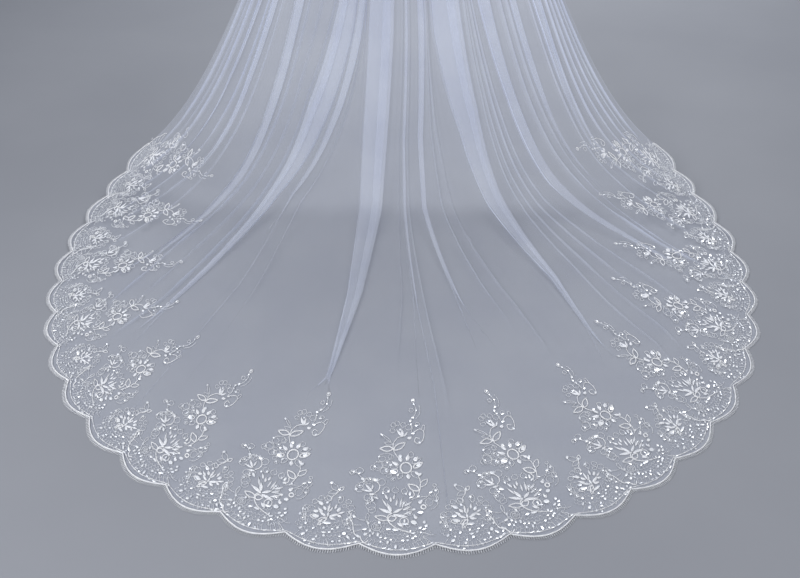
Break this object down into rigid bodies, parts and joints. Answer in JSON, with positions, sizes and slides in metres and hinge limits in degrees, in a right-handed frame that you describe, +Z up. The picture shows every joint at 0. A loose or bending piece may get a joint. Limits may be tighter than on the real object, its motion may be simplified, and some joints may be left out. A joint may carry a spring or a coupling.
{
  "type": "cathedral veil",
  "caption": "Long bridal veil of sheer tulle gathered on a comb, falling in pleats to a round train edged with wide scalloped lace.",
  "frame": {"origin": "middle of the comb's bar, where the veil is pinned in the hair", "axes": "+Z up, +X to the right as seen from behind the wearer, +Y the way the wearer faces; the train runs to -Y and lies 1.6 m below the origin"},
  "size_m": [1.9574, 2.1661, 1.6054],
  "materials": {
    "comb": "clear white, smooth",
    "gather_binding": "plain satin ribbon",
    "tulle_veil": "sheer white net with a cool sheen",
    "lace_border": "corded lace with silver sequins",
    "scallop_cord": "twisted white cord",
    "picot_edge": "fine white eyelash picots"
  },
  "bodies": {
    "root": {"comb": "comb", "gather_binding": "gather_binding", "tulle_veil": "tulle_veil", "lace_border": "lace_border", "scallop_cord": "scallop_cord", "picot_edge": "picot_edge"}
  },
  "joints": []
}
